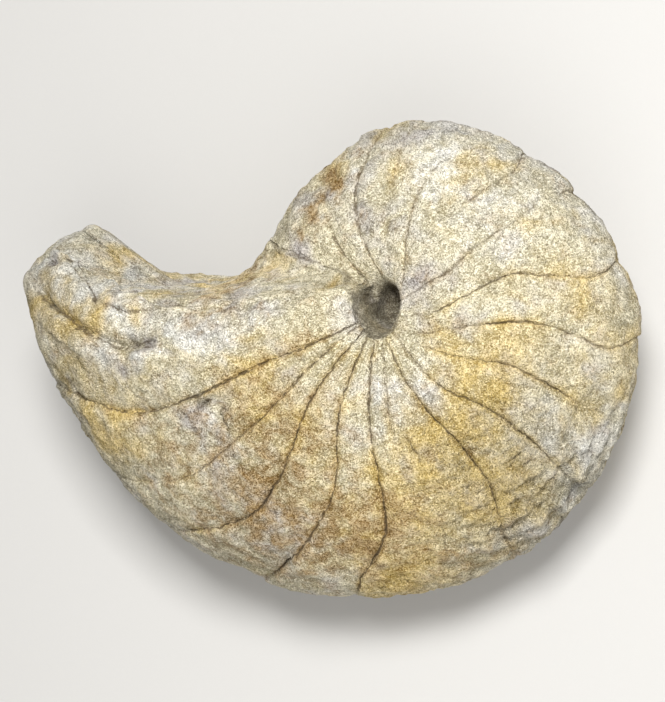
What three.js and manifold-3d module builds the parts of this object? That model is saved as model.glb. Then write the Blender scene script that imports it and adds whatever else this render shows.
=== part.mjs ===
// Fossil nautilus: the internal mould of a coiled nautiloid, one solid piece of stone.
//
// Units are millimetres and +Z is up. The fossil lies on one flank, as it comes to rest on a table.
// Its origin is the centre of its bounding box's base.
//
// The body is worked out in the coil frame first: X and Y lie in the plane of coiling, Z is the coil
// axis, and the whorl grows clockwise as seen from +Z. Each point of the skin is where a ray from
// inside the stone leaves the body, whose surface is given by signed distances.

import * as THREE from 'three';
import { mergeVertices } from 'three/addons/utils/BufferGeometryUtils.js';
import Module from 'manifold-3d';

const { degToRad, radToDeg, smoothstep, lerp } = THREE.MathUtils;

// ---- driving dimensions --------------------------------------------------------------------------

// The whorl is a logarithmic spiral. Its angle is counted in degrees from the notch, where the open
// end of the last whorl meets the older whorl, and grows in the direction of growth.
const NOTCH_DIRECTION = 155; // polar angle of the notch, degrees
const NOTCH_RADIUS = 29.9; // coil axis to the outer edge at the notch
const RADIUS_GROWTH = 0.16; // growth of that radius, per radian
const NOTCH_HALF_WIDTH = 14; // half the thickness of the whorl at the notch
const WIDTH_GROWTH = 0.137; // growth of the half thickness, per radian

// Low stretches and swellings of the outer edge: [whorl angle, millimetres].
const VENTER_WEAR = [
  [-60, 0], [0, 0.5], [12, 0.5], [38, -0.5], [60, 0.3], [108, -1.9], [125, -1.5], [155, -0.8],
  [185, -1.1], [215, -1.2], [250, -0.6], [275, 0.6], [290, 1.9], [312, 3], [330, 6.6], [345, 8],
];

// The whorl's section is a lens: (radius / edge)^2.4 + (height / half width)^1.8 = 1.
const LENS_RADIUS_POWER = 2.4;
const LENS_WIDTH_POWER = 1.8;

// The flank dips towards the umbilicus: [whorl angle, share of the half width lost at the coil axis].
const SHOULDER_DROP = [[30, 0.25], [110, 0.1], [220, 0.1], [330, 0.3]];
const SHOULDER_SPREAD = 9;

// The open end is a worn, dished face, nearly square to the whorl. Seen along the coil axis it is a
// shallow trough, and it is higher on the flank that the fossil lies on.
const OPEN_END_SECTOR = { from: 55, to: 235 }; // polar angles, degrees
const FACE_TROUGH = { x: -38, y: 3.9, curve: 0.0032, slope: -0.08 };
const FACE_STEEPNESS = 0.95; // distance from the dished face, per millimetre above it
const FACE_ROUNDING = 13; // blend between the face and the flanks
const FILLET = 13; // blend between the face and the older whorl
const FILLET_GROWS = { from: -0.5, to: 7 }; // distance behind the lip's edge
const FILLET_FADES = { from: 180, to: 210 }; // polar angle
const SHARP = 0.01; // least blend, which leaves an edge sharp

// A knob at the outer end of the face and a dip in its middle: place, spread and height.
const KNOB = { x: -73, z: -10, spreadX: 8, spreadZ: 15, height: 8 };
const DIP = { x: -48, z: -4, spreadX: 15, spreadZ: 13, height: -1.8 };

// The last whorl ends on the older one in a thin lip: [radius, polar angle] along its edge. Beside
// the pit the lip is a cliff, as high as the last whorl stands above the older one.
const LIP_EDGE = [
  [4.2, 222], [4.7, 206], [4.9, 185], [5.1, 165], [5.5, 150], [8, 144.5], [11, 143.5], [14, 147.5],
  [20, 153], [27, 156.5], [40, 160],
];
const LIP_EDGE_WIDTH = 0.8;
const LIP_CUT = 1.5; // how steeply the last whorl is cut away in front of the lip
const LIP_THICKNESS = 1.1;
const LIP_RISE = 3.3; // extra thickness beside the pit
const LIP_RISE_FADES = { radius: [6, 15], behind: [2, 7] };

// The umbilicus is a tapered, slightly oval pit on each flank.
const PIT_FLOOR = 6; // height of its floor above the plane of coiling
const PIT_FLOOR_RADIUS = 2.7;
const PIT_FLARE_HEIGHT = 1; // height above the floor at which it begins to widen
const PIT_TAPER = 0.06; // radius gained per millimetre of height above that
const PIT_CENTRE = { x: -0.2, y: 0.2 };
const PIT_LENGTHENING = 1.35; // its length along Y over its width
const PIT_FLOOR_ROUNDING = 2;

// The pit's rim is rounded a little, and more where the older whorl slopes into the pit.
const PIT_RIM_ROUNDING = 0.8;
const FUNNEL = { direction: 120, spread: 28, rounding: 2.5 }; // polar angles, degrees

// Resting attitude: the coil axis leans this far from the vertical, and the lowest skin is worn flat.
const LEAN_ABOUT_X = 12.5; // degrees
const LEAN_ABOUT_Y = 4; // degrees
const WORN_FLAT_DEPTH = 0.8;

// Facets: columns go round the coil, rows go from the near pit over the edge to the far pit.
const COLUMNS = 96;
const PIT_ROWS = 7;
const FLANK_ROWS = 27;
const EDGE_SHARE = 0.78; // share of the columns on the outer edge; the rest cross the open end
const EDGE_SWEEP = 325; // whorl angle at which the outer edge meets the open end
const REACH_ABOVE_PITS = 45; // rays begin their search this far from the plane of coiling
const REACH_ROUND_HUBS = 75; // and this far from their hub
const SEARCH_STEPS = 60;
const HALVINGS = 16;

// Points in the plane of coiling that the columns aim for across the open end: [x, y].
const OPEN_END_AIMS = [[-82, 5], [-80, 14], [-71, 16], [-58, 9], [-46, 6.5], [-39, 7.5], [-33, 10.5]];

// A column's hub is half way to its aim, but past this share of the columns the hubs turn in and
// keep inside the stone below the open end.
const HUBS_TURN_IN = 0.66;
const OPEN_END_HUBS = [[-28, -21], [-36, -17], [-36, -12], [-28, -7], [-20, -1]];

const SPACE = 400; // edge of the box that stands for all space above the ground
const STONE_COLOUR = 0xb9a478;

// ---- small formulas ------------------------------------------------------------------------------

/** Height of a smooth line through [place, height] knots, flat outside them. */
function along(knots, place) {
  if (place <= knots[0][0]) return knots[0][1];
  const next = knots.findIndex(([knot]) => knot > place);
  if (next < 0) return knots.at(-1)[1];
  const [[from, low], [to, high]] = [knots[next - 1], knots[next]];
  return lerp(low, high, smoothstep(place, from, to));
}

/** Smaller of two distances, rounded off where they are within the blend of each other. */
function smoothMin(a, b, blend) {
  const near = Math.max(blend - Math.abs(a - b), 0) / blend;
  return Math.min(a, b) - (near * near * blend) / 4;
}

function smoothMax(a, b, blend) {
  return -smoothMin(-a, -b, blend);
}

function bump({ x, z, spreadX, spreadZ, height }, atX, atZ) {
  return height * Math.exp(-(((atX - x) / spreadX) ** 2) - ((atZ - z) / spreadZ) ** 2);
}

// ---- the body as signed distances ----------------------------------------------------------------

function edgeRadius(whorl) {
  return NOTCH_RADIUS * Math.exp(RADIUS_GROWTH * degToRad(whorl));
}

/** Distance from the skin of the whorl, at a distance from the coil axis and a height above the plane. */
function whorlDistance(radius, height, whorl) {
  const edge = edgeRadius(whorl) + along(VENTER_WEAR, whorl);
  const shoulder = 1 - along(SHOULDER_DROP, whorl) * Math.exp(-((radius / SHOULDER_SPREAD) ** 2));
  const halfWidth = NOTCH_HALF_WIDTH * Math.exp(WIDTH_GROWTH * degToRad(whorl)) * shoulder;
  const a = Math.max(radius, 0.001) / edge;
  const b = Math.max(Math.abs(height), 0.001) / halfWidth;
  const level = a ** LENS_RADIUS_POWER + b ** LENS_WIDTH_POWER - 1;
  const slope = Math.hypot(
    (LENS_RADIUS_POWER * a ** (LENS_RADIUS_POWER - 1)) / edge,
    (LENS_WIDTH_POWER * b ** (LENS_WIDTH_POWER - 1)) / halfWidth,
  );
  return level / Math.max(slope, 0.4 / halfWidth);
}

function faceHeight(x, z) {
  const trough = FACE_TROUGH.y + FACE_TROUGH.curve * (x - FACE_TROUGH.x) ** 2 + FACE_TROUGH.slope * z;
  return trough + bump(KNOB, x, z) + bump(DIP, x, z);
}

function pitDistance(x, y, z) {
  const above = Math.abs(z) - PIT_FLOOR;
  const radius = PIT_FLOOR_RADIUS + PIT_TAPER * Math.max(above - PIT_FLARE_HEIGHT, 0);
  const fromAxis = Math.hypot(x - PIT_CENTRE.x, (y - PIT_CENTRE.y) / PIT_LENGTHENING);
  return smoothMax(fromAxis - radius, -above, PIT_FLOOR_ROUNDING);
}

function pitRimRounding(direction) {
  const apart = (direction - FUNNEL.direction) / FUNNEL.spread;
  return PIT_RIM_ROUNDING + FUNNEL.rounding * Math.exp(-(apart ** 2));
}

/** Thickness of the lip, from the distance behind its edge and from the coil axis. */
function lipThickness(behind, radius) {
  const nearPit = 1 - smoothstep(radius, ...LIP_RISE_FADES.radius);
  const nearEdge = 1 - smoothstep(behind, ...LIP_RISE_FADES.behind);
  const step = smoothstep(behind, -LIP_EDGE_WIDTH / 2, LIP_EDGE_WIDTH / 2);
  return step * (LIP_THICKNESS + LIP_RISE * nearPit * nearEdge);
}

/** Beside the open end the last whorl, cut by the face, stands on the whorl that is one turn older. */
function openEndDistance({ x, y, z }, radius, direction, whorl) {
  const behind = degToRad(direction - along(LIP_EDGE, radius)) * radius;
  const cut = FACE_STEEPNESS * (y - faceHeight(x, z)) + LIP_CUT * Math.max(-behind, 0);
  const last = smoothMax(whorlDistance(radius, z, whorl), cut, FACE_ROUNDING);
  const older = whorlDistance(radius, z, whorl - 360) - lipThickness(behind, radius);
  const grown = smoothstep(behind, FILLET_GROWS.from, FILLET_GROWS.to);
  const faded = smoothstep(direction, FILLET_FADES.from, FILLET_FADES.to);
  return smoothMin(last, older, FILLET * grown * (1 - faded) + SHARP);
}

/** Signed distance from the fossil's skin, negative inside the stone. */
function bodyDistance(point) {
  const radius = Math.hypot(point.x, point.y);
  const direction = (radToDeg(Math.atan2(point.y, point.x)) + 360) % 360;
  const whorl = (NOTCH_DIRECTION - direction + 360) % 360;
  const besideOpenEnd = direction > OPEN_END_SECTOR.from && direction < OPEN_END_SECTOR.to;
  const pastNotch = besideOpenEnd && direction <= NOTCH_DIRECTION;
  const distance = besideOpenEnd
    ? openEndDistance(point, radius, direction, pastNotch ? whorl + 360 : whorl)
    : whorlDistance(radius, point.z, whorl);
  return smoothMax(distance, -pitDistance(point.x, point.y, point.z), pitRimRounding(direction));
}

// ---- the skin as a grid of rays ------------------------------------------------------------------

/** Outermost point of the body on a ray, by stepping inwards and then halving the last step. */
function skinPoint(start, direction, reach) {
  const step = reach / SEARCH_STEPS;
  const point = new THREE.Vector3();
  const distanceAt = (t) => bodyDistance(point.copy(start).addScaledVector(direction, t));
  let outside = reach;
  while (outside > step && distanceAt(outside - step) > 0) outside -= step;
  let inside = outside - step;
  for (let halving = 0; halving < HALVINGS; halving += 1) {
    const middle = (inside + outside) / 2;
    if (distanceAt(middle) > 0) outside = middle;
    else inside = middle;
  }
  return start.clone().addScaledVector(direction, inside);
}

function edgePoint(whorl) {
  const radius = edgeRadius(whorl);
  const direction = degToRad(NOTCH_DIRECTION - whorl);
  return new THREE.Vector3(radius * Math.cos(direction), radius * Math.sin(direction), 0);
}

/** Smooth curve in the plane of coiling from one point through [x, y] places to another point. */
function curveThrough(first, places, last) {
  const between = places.map(([x, y]) => new THREE.Vector3(x, y, 0));
  return new THREE.CatmullRomCurve3([first, ...between, last], false, 'catmullrom', 0.5);
}

const openEndAims = curveThrough(edgePoint(EDGE_SWEEP), OPEN_END_AIMS, edgePoint(0));

function columnAim(share) {
  if (share < EDGE_SHARE) return edgePoint((share / EDGE_SHARE) * EDGE_SWEEP);
  return openEndAims.getPoint((share - EDGE_SHARE) / (1 - EDGE_SHARE));
}

const halfWayTo = (aim) => aim.clone().multiplyScalar(0.5);

const openEndHubs = curveThrough(
  halfWayTo(columnAim(HUBS_TURN_IN)),
  OPEN_END_HUBS,
  halfWayTo(edgePoint(0)),
);

/** Where a column's rays start. */
function columnHub(share) {
  if (share < HUBS_TURN_IN) return halfWayTo(columnAim(share));
  return openEndHubs.getPoint((share - HUBS_TURN_IN) / (1 - HUBS_TURN_IN));
}

function columnPoints(share) {
  const hub = columnHub(share);
  const outward = columnAim(share).sub(hub).normalize();
  const points = [];
  const pitRow = (row, side) => {
    const start = hub.clone().multiplyScalar(row / (PIT_ROWS + 1));
    points.push(skinPoint(start, new THREE.Vector3(0, 0, side), REACH_ABOVE_PITS));
  };
  for (let row = 1; row <= PIT_ROWS; row += 1) pitRow(row, 1);
  for (let row = 0; row < FLANK_ROWS; row += 1) {
    const rise = Math.PI / 2 - (row / (FLANK_ROWS - 1)) * Math.PI;
    const direction = outward.clone().multiplyScalar(Math.cos(rise)).setZ(Math.sin(rise));
    points.push(skinPoint(hub, direction, REACH_ROUND_HUBS));
  }
  for (let row = PIT_ROWS; row >= 1; row -= 1) pitRow(row, -1);
  return points;
}

/** Closed skin: a point in each pit's floor, and between them the grid of columns and rows. */
function skinGeometry() {
  const rows = 2 * PIT_ROWS + FLANK_ROWS;
  const points = [];
  for (let column = 0; column < COLUMNS; column += 1) points.push(...columnPoints(column / COLUMNS));
  const nearPole = points.push(new THREE.Vector3(0, 0, PIT_FLOOR)) - 1;
  const farPole = points.push(new THREE.Vector3(0, 0, -PIT_FLOOR)) - 1;

  const faces = [];
  for (let column = 0; column < COLUMNS; column += 1) {
    const here = column * rows;
    const next = ((column + 1) % COLUMNS) * rows;
    faces.push(nearPole, next, here);
    faces.push(farPole, here + rows - 1, next + rows - 1);
    for (let row = 0; row < rows - 1; row += 1) {
      faces.push(here + row, next + row, next + row + 1);
      faces.push(here + row, next + row + 1, here + row + 1);
    }
  }
  return new THREE.BufferGeometry().setFromPoints(points).setIndex(faces);
}

// ---- laying the fossil down ----------------------------------------------------------------------

const wasm = await Module();
wasm.setup();

function solidFrom(geometry) {
  const vertProperties = new Float32Array(geometry.attributes.position.array);
  const triVerts = new Uint32Array(geometry.index.array);
  return new wasm.Manifold(new wasm.Mesh({ numProp: 3, vertProperties, triVerts }));
}

function geometryFrom(solid) {
  const { vertProperties, triVerts } = solid.getMesh();
  const geometry = new THREE.BufferGeometry();
  geometry.setAttribute('position', new THREE.BufferAttribute(vertProperties, 3));
  geometry.setIndex(new THREE.BufferAttribute(triVerts, 1));
  return geometry;
}

/** Sinks the leaning skin into the ground by the depth of its worn flat. */
function layDown(geometry) {
  geometry.rotateX(degToRad(LEAN_ABOUT_X)).rotateY(degToRad(LEAN_ABOUT_Y));
  geometry.computeBoundingBox();
  const { min, max } = geometry.boundingBox;
  return geometry.translate(-(min.x + max.x) / 2, -(min.y + max.y) / 2, -min.z - WORN_FLAT_DEPTH);
}

/** Box that reaches far past the fossil, standing on the ground, with its corners merged. */
function spaceAboveGround() {
  const box = new THREE.BoxGeometry(SPACE, SPACE, SPACE).translate(0, 0, SPACE / 2);
  box.deleteAttribute('normal');
  box.deleteAttribute('uv');
  return mergeVertices(box);
}

function fossil() {
  const stone = solidFrom(layDown(skinGeometry())).intersect(solidFrom(spaceAboveGround()));
  const geometry = geometryFrom(stone);
  geometry.computeVertexNormals();
  const material = new THREE.MeshStandardMaterial({ color: STONE_COLOUR, roughness: 0.85, metalness: 0 });
  const mesh = new THREE.Mesh(geometry, material);
  mesh.name = 'fossil_nautilus';
  return mesh;
}

const model = new THREE.Group();
model.add(fossil());

export default model;
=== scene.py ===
"""Fossil nautilus: the worn sandstone mould of a coiled nautiloid, lying on its flank in a small studio."""

from collections import namedtuple

import bpy
import numpy as np
from bpy.props import FloatProperty, FloatVectorProperty, IntProperty, PointerProperty
from mathutils import Matrix, Vector


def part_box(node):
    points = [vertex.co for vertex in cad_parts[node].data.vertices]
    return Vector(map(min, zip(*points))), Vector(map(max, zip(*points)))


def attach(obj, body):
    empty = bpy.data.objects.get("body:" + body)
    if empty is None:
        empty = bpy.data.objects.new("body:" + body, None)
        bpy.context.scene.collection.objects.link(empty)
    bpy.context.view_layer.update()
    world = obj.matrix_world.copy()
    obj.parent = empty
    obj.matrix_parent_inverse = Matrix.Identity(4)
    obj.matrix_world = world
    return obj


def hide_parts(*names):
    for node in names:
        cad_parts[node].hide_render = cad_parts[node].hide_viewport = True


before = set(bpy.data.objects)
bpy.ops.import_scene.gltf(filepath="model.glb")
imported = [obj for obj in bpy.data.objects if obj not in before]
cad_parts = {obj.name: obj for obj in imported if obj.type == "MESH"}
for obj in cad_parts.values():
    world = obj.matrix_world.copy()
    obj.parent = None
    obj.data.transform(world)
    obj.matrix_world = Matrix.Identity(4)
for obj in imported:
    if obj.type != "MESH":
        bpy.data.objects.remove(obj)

bl_info = {
    "name": "Fossil Nautilus",
    "version": (1, 0, 0),
    "blender": (4, 5, 0),
    "location": "3D View > Sidebar > Fossil",
    "description": "Makes a fossil nautilus, one worn stone with its sutures, and a small studio around it",
    "category": "Add Mesh",
}

MM = 0.001  # the coil is worked out in millimetres and laid down in metres

# ---- the coil ----
# X and Y lie in the plane of coiling and Z is the coil axis. The whorl grows clockwise as seen from
# +Z, and its angle is counted in degrees from the notch, where the open end meets the older whorl.

NOTCH_DIRECTION = 155.0
NOTCH_RADIUS = 29.9
RADIUS_GROWTH = 0.16  # per radian
NOTCH_HALF_WIDTH = 14.0
WIDTH_GROWTH = 0.137  # per radian
LENS_RADIUS_POWER = 2.4
LENS_WIDTH_POWER = 1.8
VENTER_WEAR = (
    (-60, 0, 12, 38, 60, 108, 125, 155, 185, 215, 250, 275, 290, 312, 330, 345),
    (0, 0.5, 0.5, -0.5, 0.3, -1.9, -1.5, -0.8, -1.1, -1.2, -0.6, 0.6, 1.9, 3.0, 6.6, 8.0),
)
SHOULDER_DROP = ((30, 110, 220, 330), (0.25, 0.1, 0.1, 0.3))
SHOULDER_SPREAD = 9.0

# The open end is a worn, dished face. Beside it a fillet ends on the older whorl in a thin lip.
OPEN_END_SECTOR = (55.0, 235.0)
FACE_TROUGH = (-38, 3.9, 0.0032, -0.08)  # its lowest line's X and Y, its curve, and its slope along Z
FACE_STEEPNESS = 0.95  # distance from the face per millimetre above it
KNOB = (-73, -10, 8, 15, 8)  # X, Z, spreads along them, and height
DIP = (-48, -4, 15, 13, -1.8)
FACE_ROUNDING = 13.0
FILLET = 13.0
FILLET_GROWS = (-0.5, 7)  # distance behind the lip's edge, from none of it to all of it
FILLET_FADES = (210, 180)  # direction, from none of it to all of it
SHARP = 0.01  # least blend, which leaves an edge sharp
LIP_EDGE = (
    (4.2, 4.7, 4.9, 5.1, 5.5, 8, 11, 14, 20, 27, 40),
    (222, 206, 185, 165, 150, 144.5, 143.5, 147.5, 153, 156.5, 160),
)
LIP_EDGE_STEP = (-0.4, 0.4)  # distances behind the edge between which the lip rises
LIP_CUT = 1.5  # how steeply the last whorl is cut away in front of the lip
LIP_THICKNESS = 1.1
LIP_RISE = 3.3  # extra thickness beside the pit
LIP_RISE_RADII = (15, 6)  # from none of it to all of it, as are the distances behind the edge
LIP_RISE_BEHIND = (7, 2)
LIP_RIM = 0.8  # how far behind the edge its rim is
LIP_STRIP = 3.2  # how far behind the edge the groove along its strip is

PIT_CENTRE = (-0.2, 0.2)
PIT_LENGTHENING = 1.35  # length along Y over width
PIT_FLOOR = 6.0
PIT_FLOOR_RADIUS = 2.7
PIT_FLOOR_ROUNDING = 2.0
PIT_FLARE_HEIGHT = 1.0
PIT_TAPER = 0.06
PIT_RIM_ROUNDING = 0.8
FUNNEL_DIRECTION = 120.0  # the older whorl slopes into the pit here
FUNNEL_SPREAD = 28.0
FUNNEL_ROUNDING = 2.5  # extra rounding of the rim there

# Dirt and painted shade lie in the pits up to this outline: direction, and distance from the coil axis.
PIT_DIRT_AND_SHADE = (
    (0, 31, 58, 93, 118, 132, 144, 165, 190, 206, 222, 270, 305, 334, 360),
    (3.7, 4.0, 4.6, 5.2, 6.2, 6.7, 6.5, 5.6, 5.2, 4.9, 4.7, 5.3, 5.1, 4.1, 3.7),
)

LEAN_ABOUT_X = 12.5
LEAN_ABOUT_Y = 4.0

# The skin's columns go round the coil and across the open end, between these points.
EDGE_SHARE = 0.78
EDGE_SWEEP = 325.0
OPEN_END_AIMS = ((-82, 5), (-80, 14), (-71, 16), (-58, 9), (-46, 6.5), (-39, 7.5), (-33, 10.5))
# Their hubs are half way to the aims, but keep inside the stone below the open end.
HUBS_TURN_IN = 0.66
OPEN_END_HUBS = ((-28, -21), (-36, -17), (-36, -12), (-28, -7), (-20, -1))
# The skin's rows run from pit to pit, closer together at the upper rim, the edge and the upper flank.
PIT_STOPS = ((0, 0.12, 0.6), (0, 2.5, 4.6))  # shares of the rows, and distances from the pit's axis
RIM_CROWDING = 1.3
EDGE_CROWDING = 0.12
UPPER_CROWDING = 0.22
FAR_PIT_ROWS = 14

# ---- the sutures ----
# Each suture runs from the pit (latitude 0) to the outer edge (latitude 1), the same on both flanks.
# A row holds its whorl angle at each of these latitudes, then how deep it is worn in there, 0 to 2.

LATITUDES = (0.05, 0.2, 0.35, 0.5, 0.7, 0.95)
SUTURES = (
    ((17, 19, 23, 28, 31, 31), (0.3, 0.7, 0.7, 0.2, 0.1, 0.1)),
    ((48, 43, 43, 46, 54, 58), (0.4, 0.8, 0.8, 0.8, 0.6, 0.3)),
    ((61, 61, 63, 66, 67, 70), (0.0, 0.0, 0.1, 0.4, 0.6, 0.3)),
    ((104, 83, 79, 82, 86, 88), (0.4, 0.7, 0.7, 0.4, 0.1, 0.2)),
    ((116, 100, 99, 103, 106, 103), (0.2, 0.1, 0.1, 0.5, 0.6, 0.8)),
    ((127, 126, 121, 121, 119, 121), (0.6, 0.8, 0.6, 0.3, 0.2, 0.9)),
    ((172, 150, 140, 143, 146, 142), (0.5, 0.8, 1.1, 0.7, 0.8, 1.0)),
    ((199, 169, 160, 161, 165, 162), (0.4, 0.7, 1.2, 0.8, 0.7, 0.8)),
    ((203, 187, 178, 179, 181, 181), (0.2, 0.7, 1.0, 1.2, 0.2, 0.1)),
    ((209, 206, 197, 196, 198, 199), (0.5, 0.8, 1.1, 1.25, 0.6, 0.1)),
    ((225, 220, 214, 213, 218, 220), (0.9, 1.2, 1.3, 1.1, 0.8, 0.3)),
    ((232, 237, 236, 235, 236, 238), (0.6, 0.5, 0.0, 0.0, 0.1, 0.2)),
    ((248, 248, 245, 244, 251, 255), (0.8, 1.0, 1.1, 1.3, 1.6, 0.3)),
    ((262, 264, 259, 262, 268, 273), (0.8, 1.0, 0.9, 1.2, 1.6, 0.4)),
    ((278, 279, 276, 277, 286, 293), (0.8, 1.0, 1.1, 1.7, 0.7, 0.2)),
    ((293, 291, 292, 294, 300, 307), (0.8, 1.0, 0.9, 0.8, 0.4, 0.2)),
    ((301, 308, 309, 311, 318, 323), (0.8, 1.1, 1.2, 1.2, 1.2, 1.0)),
)
GAPE = 1.2  # a suture worn deeper than this gapes open
GAPE_DEPTH = 1.7
FURROWS_ALONG = (0.95, 0.3, 0.1)  # of the open end
WIDEST_CHAMBER = 40.0  # degrees counted before the first suture and after the last

# Cracks and worn ledges: depth, width, rise of the left-hand side, darkness, then points. Those of the
# upper flank are laid out in X and Y, and those of the open end's face in X and Z.
LONG_GROOVE = (
    (-82, 9), (-77.7, 2), (-71.3, -1.4), (-65.7, -3.6), (-60, -6.4), (-55, -8.2), (-50.7, -9), (-45, -7.9),
    (-39, -6.5),
)
FLANK_CRACKS = (
    # The long groove's dark line is partly painted shade under its upper fold.
    (1.0, 0.5, -0.8, 0.9, LONG_GROOVE),
    (1.0, 1.8, -0.8, 0.0, LONG_GROOVE),
    (
        0.7, 1.2, -0.5, 0.0,
        ((-73, -17), (-64.7, -20.2), (-58.8, -21.6), (-53, -22.2), (-44, -20.6), (-38, -17)),
    ),
    (0.7, 0.4, 0.6, 0.9, ((-60.6, 1.1), (-55.4, -0.3), (-51.5, -1.1), (-46, -0.8), (-42, -1))),
    (0.4, 0.3, 0.5, 0.3, ((-74, -5.5), (-69, -7.5), (-64.6, -9.3), (-60, -10.5))),
    (0.35, 0.25, 0.1, 0.4, ((-51, -13), (-51, -17), (-47, -20))),
    (0.3, 0.8, -0.2, 0.7, ((-53, -8.4), (-50.5, -8.3), (-47.5, -7.4), (-43, -6.2))),
    # The chip's dark rim and gap are painted shade in its hollow.
    (1.4, 0.6, 0.3, 1.5, ((-36, -20.3), (-33.8, -18.7), (-32, -18), (-31, -19.2), (-31.6, -21))),
    (0.6, 0.4, 0.3, 0.7, ((-31, -18.5), (-30.4, -21.5), (-29.5, -24), (-29.8, -26))),
    (0.5, 0.5, 0.3, 0.6, ((-36.6, -22), (-36.8, -24.5), (-35, -26.5))),
    (0.6, 0.25, 0.0, 0.7, ((5.5, -23), (7, -26), (9, -29.5))),
    (0.5, 0.2, 0.0, 0.5, ((11, -41), (11.5, -44), (11, -48))),
    (0.4, 0.2, 0.1, 0.4, ((8, 13.5), (10, 16), (13, 18.5))),
    (0.4, 0.25, 0.1, 0.5, ((0.9, 33.3), (-0.5, 31.5), (-1, 29.5))),
    (0.35, 0.2, 0.1, 0.35, ((22.5, 15), (21.3, 12.5), (20.8, 9.5))),
    (0.3, 0.2, 0.0, 0.3, ((24, 16), (29, 17.2), (34, 17.6))),
    (0.5, 0.3, 0.2, 0.3, ((-14, 28), (-13, 24), (-16, 19), (-19, 14))),
)
FACE_CRACKS = (
    (
        1.1, 0.6, 1.3, 0.9,
        ((-77, 2), (-73, 5.5), (-66, 7.8), (-61.4, 10), (-57, 14), (-53, 17.8), (-44.5, 21.9), (-31, 25.5)),
    ),
    (
        1.0, 0.4, 0.7, 1.1,
        ((-73, 7.5), (-71, 8.4), (-68, 10.3), (-65, 13), (-62, 16), (-60.4, 18.4), (-60, 20)),
    ),
    (1.0, 0.6, 0.9, 1.0, ((-81, 1.5), (-77, 5.2), (-74.8, 7.7), (-72.4, 8.9), (-70.7, 7.8), (-69, 6))),
    (0.4, 0.4, 0.2, 0.3, ((-68, -6), (-60, -6), (-52, -8), (-42, -6))),
    (0.5, 0.4, 0.3, 0.35, ((-38, 23), (-35, 17), (-33, 9), (-30, 5))),
    (0.6, 0.6, 0.6, 0.5, ((-72, 0), (-69, 2), (-65, 2.4), (-60, 4), (-55, 9), (-50, 11))),
)

# Humps and hollows of the skin: X, Y, Z, spread and height.
HUMPS = (
    (-71, 15, 1, 3.5, 0.8), (-76.5, 10.5, 5, 2.0, 0.6), (-77.5, 7.8, 5, 1.6, -0.8),
    (-80.3, 8.3, 2.5, 1.6, -1.0), (-81, 4.5, 4, 2.2, 0.7), (-79.5, 5.5, 6, 2.2, 0.8),
    (-75, 0, 12, 3.0, -0.5), (-62, -4, 20, 5.0, 0.5), (-51, -8.2, 24, 1.9, -0.8),
    (-47, -7.7, 25, 1.9, -0.8), (-47, -12, 25, 4.0, 0.7), (-70, -5, 17, 3.0, 0.8),
    (-63, -8.5, 19, 3.0, 0.7), (-67, 1, 16, 3.5, 0.5), (-31, -2.5, 27, 3.0, 0.5), (-38, -6.5, 27, 2.0, 0.5),
    (-33, -20.5, 25, 2.6, -1.0), (-31.8, -19, 26, 0.9, -1.2), (-33.8, -22.4, 25, 0.8, 1.0),
    (-37.5, -20.5, 25, 1.6, 0.6), (-73, 9, 7, 1.8, 0.7), (-69, 10.5, 2, 1.8, -0.5),
    (-64, -21, 14, 4.0, 0.8), (-56, -25, 16, 4.0, 0.5), (-14, 25, 7, 2.2, -0.6), (-17, 18, 10, 2.0, -0.4),
    (-40, -2, 26, 6.0, 0.4), (-30, 9.5, 2, 4.5, 1.8), (-30.5, 8.5, -2, 4.0, 1.8), (24, -14, 18, 4.5, -0.35),
    (30, -30, 12, 5.0, -0.3),
)

# Stains and worn places of the upper flank, and painted light and shade among them: X, Y, spread and
# strength.
GOLD = (
    (20, -20, 12, 0.65), (9, -32, 14, 0.65), (-4, -42, 13, 0.5), (38, 4, 9, 0.45), (23, -4, 8, 0.4),
    (-22, -25, 10, 0.36), (-14, -23, 7, 0.45), (1, -54, 9, 0.8), (20, -39, 9, 0.4), (29, -36, 8, 0.4),
    (39, -13, 9, 0.45), (-25, -13, 8, 0.65), (-15, -9, 6, 0.4), (-61, -23, 8, 0.85), (-50, -30, 9, 0.3),
    (-75, -1, 6, 0.8), (-68, -4, 5, 0.7), (-61, -9, 8, 0.55), (-58, 4, 6, 0.4), (-58, -3.5, 4, 0.4),
    (-47, 2, 4, 0.6), (-72, 12, 6, 0.35), (-33, 5, 5, 0.6), (-25, 9, 4, 0.6), (-10, 5.2, 1.4, 1.0),
    (-13, 26, 3.5, 0.8), (16, 30, 6, 0.4), (27, 16, 2, 0.8),
)
# Grey spots in the recess at (-47, -7.6), (-50.5, -8.1) and (-44.3, -6.6), under the knob at (-74.5, 8),
# and the broad ones at (-30, -36) and (-19, -46) are painted shade.
GREY = (
    (-30, -36, 11, 0.5), (-19, -46, 11, 0.45), (5, -14, 2.5, 0.4), (-47, -7.6, 1.7, 0.8),
    (-50.5, -8.1, 1.5, 0.8), (-44.3, -6.6, 1.5, 0.6), (-51.5, -13, 1.8, 0.5), (-52, -12, 4, 0.4),
    (-13.6, 22, 1.5, 1.2), (-9, 21, 4, 0.5), (-36.8, -20.5, 2.4, 0.9), (-31, -25, 3, 0.4),
    (-53, 3.5, 5, 0.4), (6, 12, 5, 0.25), (-6, 33, 6, 0.4), (-74.5, 8, 1.5, 1.2), (-19, 10.5, 3.5, 0.8),
    (-2, 16, 5, 0.6), (3, 33, 7, 0.6), (9, 1, 6, 0.6), (7, 5.5, 3, 0.5), (-16, -12, 6, 0.4),
    (-36, -19, 8, 0.25), (-20, 19, 5, 0.5), (-42, 1, 4, 0.7), (-28, 0, 6, 0.6), (17, 24, 5, 0.35),
)
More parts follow.
